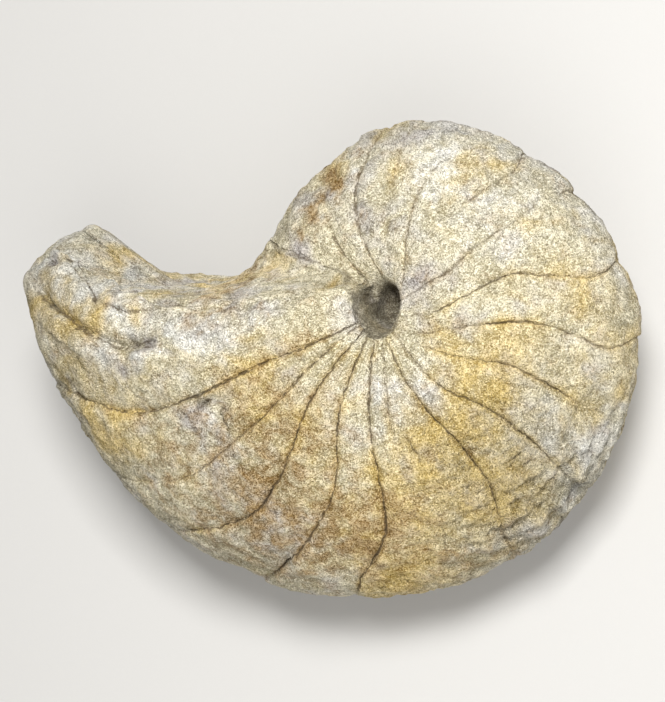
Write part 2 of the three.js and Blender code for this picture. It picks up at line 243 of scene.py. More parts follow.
# Brown spots at (-60, -6) and (-55, -8) along the long groove, at (-5, -43) and (24, -47), and the broad
# ones on the low side are painted shade.
BROWN = (
    (-14.5, 25.2, 2.1, 1.3), (-11.9, 23.8, 1.6, 1.3), (-17, 18, 2.2, 1.2), (-15.9, 21.5, 1.2, 1.0),
    (-19, 14, 1.5, 0.9), (-43, -28, 9, 0.45), (-26, -44, 13, 0.6), (-5, -43, 8, 0.5), (5, -48, 12, 0.25),
    (-42, -43, 6, 0.3), (-18, -33, 9, 0.4), (-26, -26, 9, 0.28), (-24, -14, 8, 0.3), (-14, -22, 9, 0.3),
    (24, -47, 6, 0.4), (-70, -10, 3, 0.3), (-60, -6, 2, 0.4), (-55, -8, 2, 0.4), (-64, 9, 3, 0.35),
    (-33, 4, 6, 0.5), (-11, -5, 1.8, 0.6), (-13, -49, 6, 0.3), (2, -40, 6, 0.4), (13, -50, 5, 0.4),
)
# Pale spots at (-68, -6), (-77, 6) and (26, -40) lighten places that the relief shades: painted light.
PALE = (
    (-34, -3, 9, 0.85), (-25, -2.5, 7, 0.5), (-38, -6.4, 1.6, 1.2), (-41, -4.5, 1.5, 1.0),
    (-49, -2, 5, 0.8), (-60, 2, 8, 0.9), (-57, 0.5, 4, 0.8), (-48, -11, 2.3, 1.4), (-57, -12, 7, 0.9),
    (-68, -6, 4, 1.2), (-72, 2, 6, 0.9), (-77, 6, 5, 1.0), (-72, 13, 6, 0.5), (-62, 9, 5, 0.5),
    (-33.9, -22.7, 2.0, 1.6), (10, 23, 14, 0.35), (25, 21, 11, 0.35), (7, 30, 8, 0.55), (-7, 26, 4, 0.6),
    (3, 10, 9, 0.2), (44, 12, 8, 0.6), (42, -19, 8, 0.3), (32, -24, 5, 1.1), (38, -30, 6, 0.5),
    (26, -40, 10, 0.5), (20, -28, 2.2, 0.9), (13, -20, 1.2, 1.2), (9, -21, 8, 0.7), (4, -16, 8, 0.5),
    (19, -15, 7, 0.35), (-28, -36, 2, 0.6),
)

# ---- the finish and the studio ----
# Grains and patches are in millimetres, and the studio is in metres. A light has a place and a width.

GRAIN_SIZE = 0.45
CARD_GRAIN_SIZE = 0.6
PATCH_SIZE = 4.0
DISPLAY_GAMMA = 2.2  # grain lightens and darkens a colour by even steps on a display

FLOOR_HALF_WIDTH = 3.0
FLOOR_GAP = 0.00002
STONE_MIDDLE = (0.0, 0.0, 0.03)
KEY_LIGHT = ((0.15, 0.17, 0.58), 0.2)
FILL_LIGHT = ((0.24, -0.32, 0.40), 0.5)
ROOM_COLOUR = (1.0, 0.985, 0.95, 1)
VIEW_CENTRING = (-15.2, -9.3)  # mm from the coil's centre to the view's middle, right and up
VIEW_WIDTH = 133.0  # mm across the view at the coil's centre

Place = namedtuple("Place", "radius direction whorl latitude behind upper flank face fan")


# ---- small formulas ----


def smoothstep(x, low, high):
    """3t^2 - 2t^3, where t is how far x has come from low to high. It falls where low is the larger."""
    t = np.clip((x - low) / (high - low), 0, 1)
    return t * t * (3 - 2 * t)


def bell(distance, width):
    """e^(-(distance / width)^2)"""
    return np.exp(-((distance / width) ** 2))


def piece_holding(knots, x):
    """Number of the piece between two knots that each x lies in."""
    return np.clip(np.searchsorted(knots, x) - 1, 0, len(knots) - 2)


def steps_along(knots, values, x):
    """Smoothsteps from each knot's value to the next one's, flat outside them."""
    knots, values = np.asarray(knots, float), np.asarray(values, float)
    i = piece_holding(knots, x)
    share = smoothstep(x, knots[i], knots[i + 1])
    return values[i] * (1 - share) + values[i + 1] * share


def line_through(knots, values, x):
    """Cubic pieces through the knots, whose slope at a knot is the mean of the chords' beside it."""
    knots, values = np.asarray(knots, float), np.asarray(values, float)
    chord = np.diff(values) / np.diff(knots)
    slope = np.concatenate([chord[:1], (chord[1:] + chord[:-1]) / 2, chord[-1:]])
    x = np.clip(x, knots[0], knots[-1])
    i = piece_holding(knots, x)
    length = knots[i + 1] - knots[i]
    t = (x - knots[i]) / length
    ends = values[i] * (1 + 2 * t) * (1 - t) ** 2 + values[i + 1] * t * t * (3 - 2 * t)
    return ends + length * t * (1 - t) * (slope[i] * (1 - t) - slope[i + 1] * t)


def curve_points(points, shares):
    """Catmull-Rom curve through the points, at each share of the way from the first to the last."""
    p = np.asarray(points, float)
    p = np.vstack([2 * p[0] - p[1], p, 2 * p[-1] - p[-2]])
    t = np.asarray(shares) * (len(p) - 3)
    i = np.clip(np.floor(t).astype(int), 0, len(p) - 4)
    f = (t - i)[:, None]
    a, b, c, d = p[i], p[i + 1], p[i + 2], p[i + 3]
    bend = (2 * a - 5 * b + 4 * c - d) * f**2 + (3 * b - a - 3 * c + d) * f**3
    return 0.5 * (2 * b + (c - a) * f + bend)


def smooth_min(a, b, blend):
    """Smaller of two distances, rounded off where they are within the blend of each other."""
    near = np.maximum(blend - np.abs(a - b), 0) / blend
    return np.minimum(a, b) - near * near * blend / 4


def smooth_max(a, b, blend):
    """Larger of two distances, rounded off in the same way."""
    return -smooth_min(-a, -b, blend)


def lumps(points, size, seed):
    """Random heights from -1 to 1 at the corners of cubes of this size, blended smoothly between."""
    table = np.random.default_rng(seed).uniform(-1, 1, (32, 32, 32))
    cell = points / size
    corner = np.floor(cell).astype(int)
    t = cell - corner
    t = t * t * (3 - 2 * t)
    total = 0
    for step in np.ndindex(2, 2, 2):
        share = np.prod(np.abs(1 - np.array(step) - t), axis=-1)
        i, j, k = np.moveaxis((corner + step) % 32, -1, 0)
        total = total + share * table[i, j, k]
    return total


def ragged(points, size, seed, octaves=3):
    """Lumps of a size, half as high ones of half that size, and so on."""
    return sum(lumps(points, size / 2**n, seed + n) / 2**n for n in range(octaves))


def crumpled(points, size, seed):
    """Sharp ridges, 1 - 2|lumps|, at a size and half as high at half of it."""
    return sum((1 - 2 * np.abs(lumps(points, size / 2**n, seed + n))) / 2**n for n in range(2))


def streaks(points, along, size, stretch, seed):
    """Lumps drawn out along a direction."""
    way = np.asarray(along, float) / np.linalg.norm(along)
    run = points @ way
    return ragged(points - run[..., None] * way * (1 - 1 / stretch), size, seed, octaves=2)


def soft_spots(points, spots):
    """Sum of round spots: each one's height times the bell of the distance from its centre."""
    total = 0
    for *centre, spread, height in spots:
        gap = np.linalg.norm(points[..., : len(centre)] - centre, axis=-1)
        total = total + height * bell(gap, spread)
    return total


def nearer_of(fields, others):
    """At each point the fields or the others, whichever's first one is nearer to nought."""
    nearer = np.abs(others[0]) < np.abs(fields[0])
    return [np.where(nearer, new, old) for old, new in zip(fields, others)]


# ---- the body as signed distances ----


def edge_radius(whorl):
    """R = R0 e^(k w), the spiral of the outer edge."""
    return NOTCH_RADIUS * np.exp(RADIUS_GROWTH * np.radians(whorl))


def whorl_size(radius, whorl):
    """Outer radius of the worn whorl, and its half width there, which dips towards the coil axis."""
    edge = edge_radius(whorl) + steps_along(*VENTER_WEAR, whorl)
    shoulder = 1 - steps_along(*SHOULDER_DROP, whorl) * bell(radius, SHOULDER_SPREAD)
    return edge, NOTCH_HALF_WIDTH * np.exp(WIDTH_GROWTH * np.radians(whorl)) * shoulder


def whorl_distance(radius, height, whorl):
    """Lens (radius / edge)^2.4 + (height / half width)^1.8 = 1, divided by its slope."""
    edge, half_width = whorl_size(radius, whorl)
    a = np.maximum(radius, 0.001) / edge
    b = np.maximum(np.abs(height), 0.001) / half_width
    level = a**LENS_RADIUS_POWER + b**LENS_WIDTH_POWER - 1
    slope = np.hypot(
        LENS_RADIUS_POWER * a ** (LENS_RADIUS_POWER - 1) / edge,
        LENS_WIDTH_POWER * b ** (LENS_WIDTH_POWER - 1) / half_width,
    )
    return level / np.maximum(slope, 0.4 / half_width)


def face_height(x, z):
    """A parabola's trough, higher towards the lower flank, plus a knob at its outer end and a dip."""
    middle, lowest, curve, slope = FACE_TROUGH
    height = lowest + curve * (x - middle) ** 2 + slope * z
    for at_x, at_z, spread_x, spread_z, rise in (KNOB, DIP):
        height = height + rise * bell(x - at_x, spread_x) * bell(z - at_z, spread_z)
    return height


def polar(points):
    """Distance from the coil axis, and direction in degrees."""
    x, y = points[..., 0], points[..., 1]
    return np.hypot(x, y), np.degrees(np.arctan2(y, x)) % 360


def funnel(direction):
    """Bell round the direction in which the older whorl slopes into the pit."""
    return bell(direction - FUNNEL_DIRECTION, FUNNEL_SPREAD)


def pit_distance(points):
    """Distance from an oval, tapered pit, measured along X, cut off at its floor."""
    x, y = PIT_CENTRE
    from_axis = np.hypot(points[..., 0] - x, (points[..., 1] - y) / PIT_LENGTHENING)
    height = np.abs(points[..., 2])
    radius = PIT_FLOOR_RADIUS + PIT_TAPER * np.maximum(height - PIT_FLOOR - PIT_FLARE_HEIGHT, 0)
    return smooth_max(from_axis - radius, PIT_FLOOR - height, PIT_FLOOR_ROUNDING)


def beside_open_end(direction):
    return (direction > OPEN_END_SECTOR[0]) & (direction < OPEN_END_SECTOR[1])


def behind_lip(radius, direction):
    """Length of arc from the lip's edge to a point, positive on the open end's side."""
    return np.radians(direction - steps_along(*LIP_EDGE, radius)) * radius


def open_end_parts(points):
    """Distances from the last whorl's side, from the face that cuts it, and from the whorl under it."""
    radius, direction = polar(points)
    whorl = (NOTCH_DIRECTION - direction) % 360
    whorl = np.where(whorl < 100, whorl + 360, whorl)
    x, y, z = points[..., 0], points[..., 1], points[..., 2]
    behind = behind_lip(radius, direction)
    cut = FACE_STEEPNESS * (y - face_height(x, z)) + LIP_CUT * np.maximum(-behind, 0)
    rise = LIP_RISE * smoothstep(radius, *LIP_RISE_RADII) * smoothstep(behind, *LIP_RISE_BEHIND)
    thickness = (LIP_THICKNESS + rise) * smoothstep(behind, *LIP_EDGE_STEP)
    older = whorl_distance(radius, z, whorl - 360) - thickness
    return whorl_distance(radius, z, whorl), cut, older, behind


def body_distance(points):
    """Signed distance from the skin, negative inside: the whorl, its open end, and the pits cut out."""
    direction = polar(points)[1]
    side, cut, older, behind = open_end_parts(points)
    blend = SHARP + FILLET * smoothstep(behind, *FILLET_GROWS) * smoothstep(direction, *FILLET_FADES)
    open_end = smooth_min(smooth_max(side, cut, FACE_ROUNDING), older, blend)
    stone = np.where(beside_open_end(direction), open_end, side)
    rim = PIT_RIM_ROUNDING + FUNNEL_ROUNDING * funnel(direction)
    return smooth_max(stone, -pit_distance(points), rim)


# ---- the skin as a grid of rays ----


def on_spiral(whorl):
    """Points of the outer edge's spiral in the plane of coiling."""
    turn = np.radians(NOTCH_DIRECTION - whorl)
    return edge_radius(whorl)[..., None] * np.stack([np.cos(turn), np.sin(turn)], -1)


def share_past(share, start):
    """How far a share has come from the start to 1."""
    return np.clip((share - start) / (1 - start), 0, 1)


def column_aims(share):
    """Points that the columns aim for: round the outer edge, then across the open end to the notch."""
    tip, notch = on_spiral(np.array([EDGE_SWEEP, 0.0]))
    open_end = curve_points((tip, *OPEN_END_AIMS, notch), share_past(share, EDGE_SHARE))
    around = on_spiral(share / EDGE_SHARE * EDGE_SWEEP)
    return np.where((share < EDGE_SHARE)[:, None], around, open_end)


def pit_distances(share, outward, furthest):
    """How far from the pit's axis each row is: a few rows on its floor, half up its wall, then out.

    The inner stops are those of the oval pit, so they grow along Y.
    """
    oval = 1 / np.hypot(outward[:, :1], outward[:, 1:] / PIT_LENGTHENING)
    shares, distances = PIT_STOPS
    wall = np.interp(share, shares, distances) * oval
    past = share_past(share, shares[-1]) ** RIM_CROWDING
    return wall + (furthest[:, None] - distances[-1] * oval) * past


def column_rays(columns, pit_rows, flank_rows, far_pit_rows):
    """Start and direction of every ray.

    A column's rays rise along the coil axis from points between the pit's axis and its hub, fan out
    from the hub over half a turn, and go down along the axis on the far side.
    """
    share = np.arange(columns) / columns
    aim = column_aims(share)
    turn_in, notch = column_aims(np.array([HUBS_TURN_IN, 1.0])) / 2
    below_end = curve_points((turn_in, *OPEN_END_HUBS, notch), share_past(share, HUBS_TURN_IN))
    hub = np.where((share < HUBS_TURN_IN)[:, None], aim / 2, below_end)
    outward = aim - hub
    outward /= np.hypot(outward[:, 0], outward[:, 1])[:, None]
    to_hub = hub - np.array(PIT_CENTRE)
    furthest = np.hypot(to_hub[:, 0], to_hub[:, 1])
    to_hub /= furthest[:, None]
    near = np.linspace(0, 1, pit_rows + 1)[1:]
    far = np.linspace(1, 0, far_pit_rows + 1)[:-1]
    t = np.linspace(0, 1, flank_rows + 2)[1:-1]
    crowded = t + t * (1 - t) * (EDGE_CROWDING * (1 - 2 * t) - UPPER_CROWDING)
    reach = pit_distances(np.concatenate([near, np.ones(flank_rows), far]), to_hub, furthest)
    up, down = np.full(pit_rows, np.pi / 2), np.full(far_pit_rows, -np.pi / 2)
    tilt = np.concatenate([up, np.pi / 2 - np.pi * crowded, down])
    start = np.zeros((columns, len(tilt), 3))
    start[..., :2] = np.array(PIT_CENTRE) + to_hub[:, None] * reach[..., None]
    direction = np.zeros_like(start)
    direction[..., :2] = outward[:, None] * np.cos(tilt)[None, :, None]
    direction[..., 2] = np.sin(tilt)
    return start, direction


def turned(vectors, angle):
    """Vectors turned about the coil axis."""
    cos, sin = np.cos(angle), np.sin(angle)
    x, y = vectors[..., 0], vectors[..., 1]
    return np.stack([x * cos - y * sin, x * sin + y * cos, vectors[..., 2]], -1)


def skin_points(start, direction, reach=75.0, steps=60, halvings=13):
    """Outermost crossing of each ray with the skin, by stepping inwards and halving the last step."""
    outside = np.full(start.shape[:-1], reach)
    inside = outside.copy()
    found = np.zeros(start.shape[:-1], bool)
    for distance in np.linspace(reach, 0, steps + 1)[1:]:
        here = body_distance(start + direction * distance) < 0
        inside = np.where(found, inside, distance)
        outside = np.where(found | here, outside, distance)
        found |= here
    for _ in range(halvings):
        middle = (inside + outside) / 2
        here = body_distance(start + direction * middle[..., None]) < 0
        inside = np.where(here, middle, inside)
        outside = np.where(here, outside, middle)
    return start + direction * inside[..., None]


def outward_normals(skin):
    """Cross product of a closed grid's differences along its columns and along its rows."""
    normals = np.cross(np.roll(skin, -1, 0) - np.roll(skin, 1, 0), np.gradient(skin, axis=1))
    return normals / np.linalg.norm(normals, axis=-1, keepdims=True)


# ---- places on the skin ----


def places(points):
    """Whorl angle, latitude from pit to edge, and which part of the stone each point belongs to."""
    radius, direction = polar(points)
    side, cut, older, behind = open_end_parts(points)
    sector = beside_open_end(direction)
    whorl = (NOTCH_DIRECTION - direction) % 360
    whorl = np.where(sector & (behind < 0) & (whorl > 180), whorl - 360, whorl)
    edge, half_width = whorl_size(radius, whorl)
    angle = np.arctan2(np.abs(points[..., 2]) / half_width, radius / edge)
    last = sector * smoothstep(behind, -0.3, 0.3)
    face = last * smoothstep(cut - side, -2, 2)
    fan = last * smoothstep(smooth_max(side, cut, FACE_ROUNDING) - older, -2, 3)
    upper = smoothstep(points[..., 2], -3, 3)
    flank = (1 - face) * (1 - fan)
    latitude = 1 - angle / (np.pi / 2)
    return Place(radius, direction, whorl, latitude, behind, upper, flank, face, fan)


def nearest_suture(place, wobble):
    """Signed distance in mm from the nearest suture, its wear there, and the way across a chamber.

    On the hidden flank each suture's wear swings with the latitude, in a way of its own.
    """
    per_degree = np.radians(1) * place.radius
    shape = place.radius.shape
    nearest = np.full(shape, 99.0), np.zeros(shape)
    before = after = np.full(shape, WIDEST_CHAMBER)
    for number, (angles, depths) in enumerate(SUTURES):
        beyond = place.whorl - line_through(LATITUDES, angles, place.latitude)
        far_side = 0.75 + 0.3 * np.sin(2.3 * number + 5 * place.latitude)
        worn = steps_along(LATITUDES, depths, place.latitude) * (place.upper + (1 - place.upper) * far_side)
        nearest = nearer_of(nearest, (beyond * per_degree + wobble, worn))
        before = np.where(beyond >= 0, np.minimum(before, beyond), before)
        after = np.where(beyond < 0, np.minimum(after, -beyond), after)
    return *nearest, before / (before + after), (before + after) * per_degree


def beside_line(points, route):
    """Distance from a route in a plane, positive on its left, and the share of the way along it."""
    shape = points.shape[:-1]
    nearest = np.full(shape, 1e9), np.zeros(shape), np.zeros(shape)
    for number, (a, b) in enumerate(zip(route[:-1], route[1:])):
        step = b - a
        offset = points - a
        t = np.clip(offset @ step / (step @ step), 0, 1)
        gap = np.linalg.norm(offset - t[..., None] * step, axis=-1)
        left = np.sign(step[0] * offset[..., 1] - step[1] * offset[..., 0])
        nearest = nearer_of(nearest, (gap, gap * left, (number + t) / (len(route) - 1)))
    return nearest[1:]


def crack_fields(points, place):
    """Signed distance from the nearest crack, how dark it is there, and the sum of their relief.

    Each crack is a groove with a ledge, and it fades at its ends. The lip's edge gets a dark line of
    painted shadow.
    """
    shape = place.radius.shape
    nearest = np.full(shape, 9.0), np.zeros(shape)
    relief = np.zeros(shape)
    wander = 0.3 * ragged(points, size=2.5, seed=93, octaves=2)
    uneven = 0.9 + 0.3 * lumps(points, size=3, seed=91)
    on_flank = place.upper * smoothstep(place.face, 1, 0.5)
    on_face = smoothstep(place.face, 0, 0.6)
    for cracks, axes, here in ((FLANK_CRACKS, [0, 1], on_flank), (FACE_CRACKS, [0, 2], on_face)):
        for depth, width, rise, darkness, outline in cracks:
            route = curve_points(outline, np.linspace(0, 1, 6 * len(outline)))
            side, share = beside_line(points[..., axes], route)
            strength = smoothstep(share, 0, 0.15) * smoothstep(share, 1, 0.8) * here * uneven
            side = side + wander
            nearest = nearer_of(nearest, (side, darkness * strength))
            ledge = np.tanh(side / 0.3) * np.exp(-np.abs(side) / 2.5)
            relief += strength * (rise * ledge - 0.8 * depth * bell(side, width))
    lip = place.behind + 0.3 * wander
    # A dark line painted along the lip's edge as the shadow it casts.
    painted_lip_shadow = 0.5 * place.upper * smoothstep(place.radius, 5.5, 8) * beside_open_end(place.direction)
    strip = 0.7 * smoothstep(place.radius, 12, 8) * place.upper * np.minimum(2 * place.fan, 1)
    nearest = nearer_of(nearest, (lip, painted_lip_shadow))
    side, darkness = nearer_of(nearest, (lip - LIP_STRIP, strip))
    return np.clip(side, -2, 2), darkness * smoothstep(np.abs(side), 1.6, 1), relief


# ---- the worn relief ----


def flank_pattern(points, place):
    """Coordinates in mm that follow the coil: across the whorl, along it, and the side."""
    across = place.latitude * 50
    along = np.radians(place.whorl) * np.maximum(place.radius, 8)
    return np.stack([across, along, np.where(points[..., 2] > 0, 0.0, 60.0)], -1)


def chamber_relief(place, side, wear, share, width, settings):
    """Pillow 4t(1 - t) across each chamber, a step down at each suture and the groove itself."""
    inner = smoothstep(place.radius, 5, 22)
    bulge = settings.chamber_bulge / MM * (4 * share * (1 - share)) ** 0.8 * inner
    step = settings.suture_step / MM * (share - 0.5) * inner * np.clip(wear + 0.25, 0, 1)
    section = 0.8 * bell(side, 0.24) + 0.2 * bell(side, 1.1)
    groove = settings.groove_depth / MM * np.clip(wear, 0, 1.3) * section * smoothstep(width, 0.5, 3)
    gape = GAPE_DEPTH * smoothstep(wear, GAPE, 1.7) * bell(side, 0.46)
    return place.flank * (bulge + step * np.tanh(np.abs(side) / 0.2) - groove - gape)


def roughness(points, place):
    """How crumpled the skin is: most on the upper flank's low side, then the open end and outer edge."""
    x, y = points[..., 0], points[..., 1]
    low_side = bell(x - 27, 17) * bell(y + 33, 18) * place.upper
    outer = smoothstep(place.latitude, 0.5, 0.85) * place.flank
    return 0.3 + 2.1 * low_side + 0.5 * outer + 0.6 * smoothstep(x, -50, -66)


def stone_relief(points, place, rough):
    """Wear of the whole stone: lumps and crumples, wrinkles along the whorl, furrows on the open end."""
    stretched = flank_pattern(points, place) * np.array([1, 0.6, 1])
    end = np.clip(place.face + place.fan, 0, 1)
    low = 0.35 * ragged(points, size=9, seed=11, octaves=2)
    middle = (0.2 + 0.12 * rough) * ragged(points, size=3.1, seed=17)
    wrinkles = 0.25 * rough * crumpled(stretched, size=2, seed=23) * place.flank
    knobs = (0.3 * place.face + 0.25 * rough) * crumpled(points, size=5, seed=41)
    furrows = 0.34 * streaks(points, FURROWS_ALONG, size=2, stretch=8, seed=37) * end
    pits = 0.25 * smoothstep(ragged(points, size=1.7, seed=51, octaves=2), 0.45, 0.9)
    return low + middle + wrinkles + knobs + furrows - pits - 0.35


def lip_relief(place):
    """A raised rim behind the lip's edge, a groove behind that, and a sunken strip further out."""
    rim = bell(place.behind - LIP_RIM, 0.7) * smoothstep(place.radius, 7, 10)
    groove = bell(place.behind - LIP_STRIP, 0.35) * smoothstep(place.radius, 12, 8)
    outer = smoothstep(place.radius, 14, 24) * smoothstep(place.behind, *LIP_EDGE_STEP)
    return place.fan * (0.1 * rim - 0.5 * groove) - 0.8 * outer * np.minimum(2 * place.fan, 1)


def gathered(start, direction):
    """The rays, turned a little towards the nearest suture, so that its groove is finely meshed."""
    place = places(skin_points(start, direction))
    side, _, _, width = nearest_suture(place, 0.0)
    reach = np.clip(width * 0.16, 0.2, 1.7)
    shift = 0.6 * side * bell(side, reach) * place.flank * smoothstep(place.radius, 5, 9)
    angle = shift / np.maximum(place.radius, 4)
    return turned(start, angle), turned(direction, angle)


def worn_skin(settings):
    """Skin in the coil frame with all its relief, and the fields that its finish reads."""
    rays = column_rays(settings.columns, settings.pit_rows, settings.flank_rows, FAR_PIT_ROWS)
    smooth = skin_points(*gathered(*rays))
    place = places(smooth)
    wobble = 0.22 * ragged(smooth, size=3.2, seed=5, octaves=2) * smoothstep(place.radius, 6, 14)
    side, wear, share, width = nearest_suture(place, wobble)
    wear = wear * (0.85 + 0.3 * lumps(smooth, size=6, seed=71))
    rough = roughness(smooth, place)
    worn = settings.wear * stone_relief(smooth, place, rough)
    crack_side, crack_open, crack_relief = crack_fields(smooth, place)
    relief = chamber_relief(place, side, wear, share, width, settings) + lip_relief(place)
    relief += soft_spots(smooth, HUMPS) + worn * smoothstep(place.radius, 2.5, 5) + crack_relief
    skin = smooth + outward_normals(smooth) * relief[..., None]
    # The pits' dark fill: dirt, with painted shade that deepens down the pits.
    beyond_dirt_and_shade, dirt_and_shade = pit_dirt_and_shade(smooth, place)
    clear_of_dirt_and_shade = 1 - dirt_and_shade * smoothstep(beyond_dirt_and_shade, 0.6, -1)
    wear = wear * place.flank * clear_of_dirt_and_shade * smoothstep(np.abs(side), 2.2, 1.4)
    fields = {
        "suture": np.stack([np.clip(side, -3, 3), wear, dirt_and_shade], -1),
        "crack": np.stack([crack_side, crack_open, beyond_dirt_and_shade], -1),
        "pattern": flank_pattern(smooth, place) * MM,
        # The worn relief's height also lightens raised bits and darkens hollows in the finish: painted
        # light and shade.
        "form": np.stack([rough, worn, np.clip(place.face + place.fan, 0, 1)], -1),
        "tint": tints(smooth, place, side, wear),
    }
    return skin, fields


def pit_dirt_and_shade(points, place):
    """Distance from the edge of the pits' dark fill over its softness, and how dark the pits are inside it.

    The fill is dirty sediment together with painted shade, and it thins towards the top of the pits. The
    lip cuts it off, and it is softest and thinnest where the older whorl slopes in.
    """
    beyond = place.radius - line_through(*PIT_DIRT_AND_SHADE, place.direction)
    cut_off = beside_open_end(place.direction) & (place.radius > LIP_EDGE[0][0])
    beyond = np.where(cut_off, np.maximum(beyond, place.behind), beyond)
    slope = funnel(place.direction)
    shallow = smoothstep(np.abs(points[..., 2]), 7, 16) * (0.25 + 0.4 * slope)
    return np.clip(beyond / (0.25 + 0.8 * slope), -4, 4), 1 - shallow


def tints(points, place, side, wear):
    """Gold, grey, brown and pale tints: soft spots on the upper flank, some of them painted light and
    shade, broad zones below.

    Gold and a little brown have soaked in along the sutures, and gold along the lip. The upper flank's
    outer edge is lightened with painted light.
    """
    seep = 0.42 * np.clip(wear, 0, 1) * bell(side, 0.9)
    lip = 0.3 * place.fan * bell(place.behind - LIP_RIM, 0.9) * smoothstep(place.radius, 6, 8)
    # Painted light: the upper flank's outer edge is lightened.
    edge = 0.35 * smoothstep(place.latitude, 0.7, 0.95) * place.upper * place.flank
    upper = np.maximum(place.upper, place.face * smoothstep(points[..., 2], -16, -4))
    fields = []
    for seed, spots, below, extra in (
        (81, GOLD, 0.45, seep + lip),
        (82, GREY, 0.3, 0),
        (83, BROWN, 0.15, 0.5 * seep),
        (84, PALE, 0.3, edge),
    ):
        zones = np.clip(below + 0.7 * ragged(points, size=22, seed=seed, octaves=2), 0, 1)
        mixed = soft_spots(points, spots) * upper + zones * (1 - upper) + extra
        fields.append(np.clip(mixed, 0, 1.2))
    return np.stack(fields, -1)


# ---- meshes ----


def coil_to_ground():
    """Rotation that leans the coil axis over, about X and then about Y."""
    about_x = Matrix.Rotation(np.radians(LEAN_ABOUT_X), 3, "X")
    about_y = Matrix.Rotation(np.radians(LEAN_ABOUT_Y), 3, "Y")
    return np.array(about_y @ about_x)


def stone_to_ground(points):
    """Points of the coil frame leant over, in metres, and still to be moved to where the solid lies."""
    return points * MM @ coil_to_ground().T


def ground_offset(leaning):
    """Moves the leaning smooth skin to the solid's place: same middle in plan, same top."""
    low, high = (np.array(corner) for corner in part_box("fossil_nautilus"))
    skin_low, skin_high = leaning.min(0), leaning.max(0)
    offset = (low + high - skin_low - skin_high) / 2
    offset[2] = high[2] - skin_high[2]
    return offset


def grid_faces(columns, rows):
    """Quads of a grid that closes on itself round its columns, and a fan of triangles at each pole."""
    here = np.arange(columns)[:, None] * rows + np.arange(rows - 1)
    following = np.roll(here, -1, 0)
    quads = np.stack([here, following, following + 1, here + 1], -1).reshape(-1, 4)
    first = np.arange(columns) * rows
    after = np.roll(first, -1)
    near, far = columns * rows, columns * rows + 1
    near_fan = np.stack([np.full(columns, near), after, first], -1)
    far_fan = np.stack([np.full(columns, far), first + rows - 1, after + rows - 1], -1)
    return quads, np.concatenate([near_fan, far_fan])


def mesh_object(name, points, quads, triangles=()):
    """Object at the origin with its place in its mesh."""
    mesh = bpy.data.meshes.new(name)
    mesh.from_pydata(points.tolist(), [], [*quads.tolist(), *np.asarray(triangles).tolist()])
    mesh.shade_smooth()
    mesh.validate()
    piece = bpy.data.objects.new(name, mesh)
    bpy.context.scene.collection.objects.link(piece)
    return piece


def add_field(mesh, name, values):
    """Point attribute that a material reads by name: three numbers, or four as a colour."""
    kind, key = ("FLOAT_VECTOR", "vector") if values.shape[-1] == 3 else ("FLOAT_COLOR", "color")
    field = mesh.attributes.new(name, kind, "POINT")
    field.data.foreach_set(key, np.ascontiguousarray(values, np.float32).ravel())


# ---- finishes ----


class Wiring:
    """Short hand for adding and joining the nodes of one tree."""

    def __init__(self, tree):
        self.tree = tree

    def join(self, value, socket):
        if isinstance(value, bpy.types.NodeSocket):
            self.tree.links.new(value, socket)
        else:
            socket.default_value = value

    def node(self, kind, inputs=None, **settings):
        node = self.tree.nodes.new(kind)
        for name, value in settings.items():
            setattr(node, name, value)
        for name, value in (inputs or {}).items():
            self.join(value, node.inputs[name])
        return node

    def math(self, operation, *values):
        return self.node("ShaderNodeMath", dict(enumerate(values)), operation=operation).outputs[0]

    def plus(self, total, *values):
        for value in values:
            total = self.math("ADD", total, value)
        return total

    def times(self, product, *values):
        for value in values:
            product = self.math("MULTIPLY", product, value)
        return product

    def bell(self, distance, width):
        """e^(-(distance / width)^2)"""
        ratio = self.math("DIVIDE", distance, width)
        return self.math("EXPONENT", self.times(ratio, ratio, -1.0))

    def blend(self, share, first, second, mode="MIX"):
        inputs = {0: share, 6: first, 7: second}
        return self.node("ShaderNodeMix", inputs, data_type="RGBA", blend_type=mode).outputs[2]

    def gamma(self, colour, power):
        return self.node("ShaderNodeGamma", {"Color": colour, "Gamma": power}).outputs[0]

    def ramp(self, value, low, high, floor=0.0, ceiling=1.0):
        inputs = {"Value": value, "From Min": low, "From Max": high, "To Min": floor, "To Max": ceiling}
        return self.node("ShaderNodeMapRange", inputs, interpolation_type="SMOOTHSTEP").outputs[0]

    def noise(self, vector, size, detail=2.0, roughness=0.5, distortion=0.0):
        """Noise whose lumps are this long in millimetres."""
        inputs = {"Vector": vector, "Scale": 1000 / size, "Detail": detail, "Roughness": roughness}
        inputs["Distortion"] = distortion
        return self.node("ShaderNodeTexNoise", inputs).outputs[0]

    def resized(self, vector, size, new_size):
        """Coordinates on which a pattern of one size comes out at the new size."""
        inputs = {0: vector, "Scale": self.math("DIVIDE", size, new_size)}
        return self.node("ShaderNodeVectorMath", inputs, operation="SCALE").outputs[0]

    def mapped(self, vector, **places):
        """Coordinates turned or stretched by a Mapping node."""
        return self.node("ShaderNodeMapping", {"Vector": vector, **places}).outputs[0]

    def field(self, name):
        """The three numbers of a point attribute."""
        vector = self.node("ShaderNodeAttribute", attribute_name=name).outputs["Vector"]
        return self.node("ShaderNodeSeparateXYZ", {0: vector}).outputs

    def group(self, group, **inputs):
        """Node of a shared group. An input's name is written with _ for its blank."""
        values = {name.replace("_", " "): value for name, value in inputs.items()}
        return self.node("ShaderNodeGroup", values, node_tree=group).outputs


def new_group(name, inputs, outputs):
    """Empty shader node group with float or vector inputs and float outputs."""
    group = bpy.data.node_groups.new(name, "ShaderNodeTree")
    for label, default in inputs.items():
        kind = "NodeSocketVector" if default is None else "NodeSocketFloat"
        socket = group.interface.new_socket(label, in_out="INPUT", socket_type=kind)
        if default is not None:
            socket.default_value = default
    for label in outputs:
        group.interface.new_socket(label, in_out="OUTPUT", socket_type="NodeSocketFloat")
    wiring = Wiring(group)
    return group, wiring, wiring.node("NodeGroupInput").outputs, wiring.node("NodeGroupOutput").inputs


